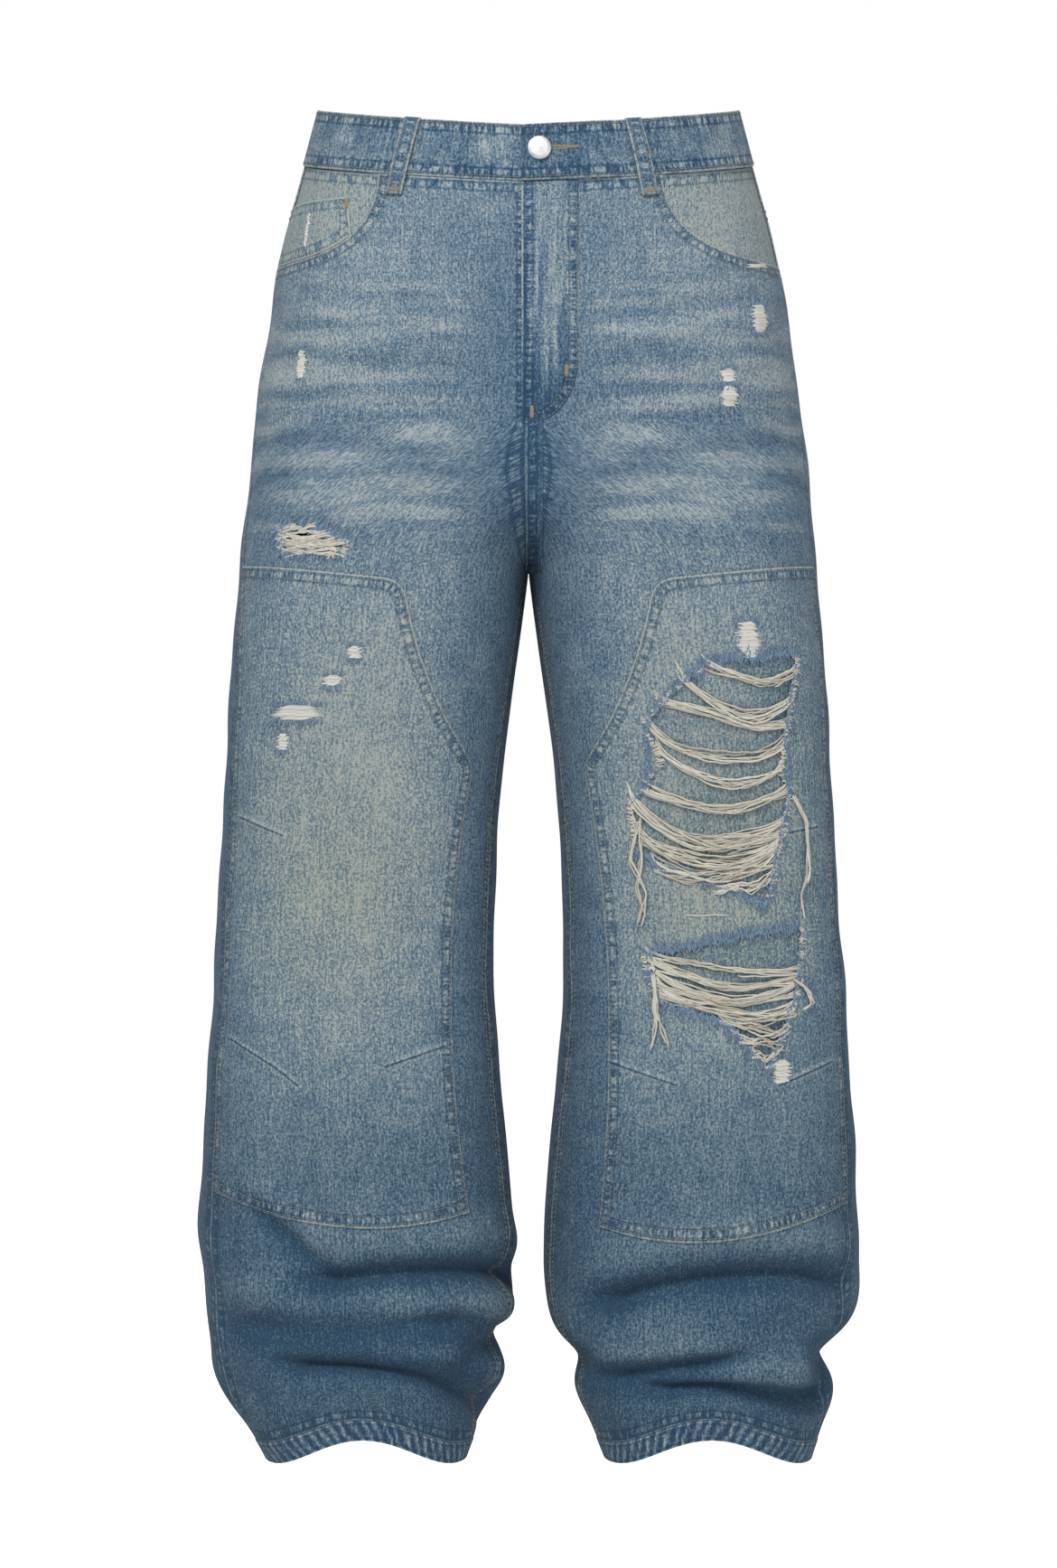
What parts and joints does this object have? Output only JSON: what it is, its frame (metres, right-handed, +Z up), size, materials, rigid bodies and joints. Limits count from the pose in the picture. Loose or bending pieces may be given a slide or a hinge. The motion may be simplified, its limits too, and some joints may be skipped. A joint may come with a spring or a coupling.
{
  "type": "ripped jeans",
  "caption": "Baggy high-waisted denim jeans with torn knee panels, hollow and filled out as if worn, with open waist and hems.",
  "frame": {"origin": "middle of the waistband ring, half way up the band", "axes": "+Z up towards the waist opening, -Y out of the front, +X towards the wearer's left"},
  "size_m": [0.4812, 0.2813, 0.9916],
  "materials": {
    "denim": "mid blue washed denim, dull",
    "faded_denim": "faded greenish blue denim, dull",
    "button_metal": "pale satin shank button"
  },
  "bodies": {
    "root": {"waistband": "denim", "belt_loop_front_right": "faded_denim", "belt_loop_front_left": "faded_denim", "belt_loop_side_right": "faded_denim", "belt_loop_side_left": "faded_denim", "belt_loop_back": "faded_denim", "button": "button_metal", "fly": "denim", "front_right": "denim", "front_left": "denim", "pocket_facing_right": "faded_denim", "pocket_facing_left": "faded_denim", "coin_pocket": "faded_denim", "knee_panel_right": "faded_denim", "knee_panel_left": "faded_denim", "back_right": "denim", "back_left": "denim", "yoke_right": "denim", "yoke_left": "denim", "back_pocket_right": "denim", "back_pocket_left": "denim", "hem_right": "faded_denim", "hem_left": "faded_denim"}
  },
  "joints": []
}
